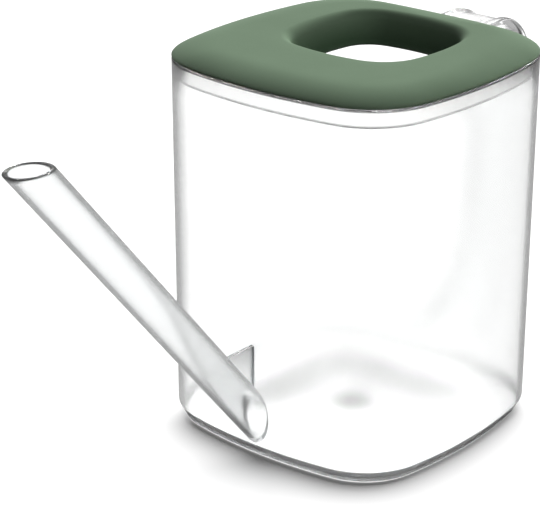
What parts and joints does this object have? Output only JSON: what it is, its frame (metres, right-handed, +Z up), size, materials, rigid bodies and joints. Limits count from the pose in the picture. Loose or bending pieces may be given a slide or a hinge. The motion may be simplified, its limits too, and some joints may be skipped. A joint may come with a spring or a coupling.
{
  "type": "watering can",
  "caption": "Clear rounded-square watering can with a straight spout, strap handle and lift-off green lid with a filling hole.",
  "frame": {"origin": "middle of the vessel's flat underside", "axes": "+Z up, spout towards -Y, handle towards +Y, the can is symmetric across X = 0"},
  "size_m": [0.13, 0.3022, 0.1637],
  "materials": {
    "clear_plastic": "clear gloss",
    "lid_plastic": "satin",
    "collar_plastic": "satin white"
  },
  "bodies": {
    "can": {"vessel": "clear_plastic", "spout_tube": "clear_plastic", "spout_gusset": "clear_plastic", "handle": "clear_plastic"},
    "lid": {"lid_cover": "lid_plastic", "lid_collar": "collar_plastic"}
  },
  "joints": [
    {"name": "lid_lift", "type": "slide", "parent": "can", "child": "lid", "axis": [0, 0, 1], "range_m": [0, 0.06]}
  ]
}
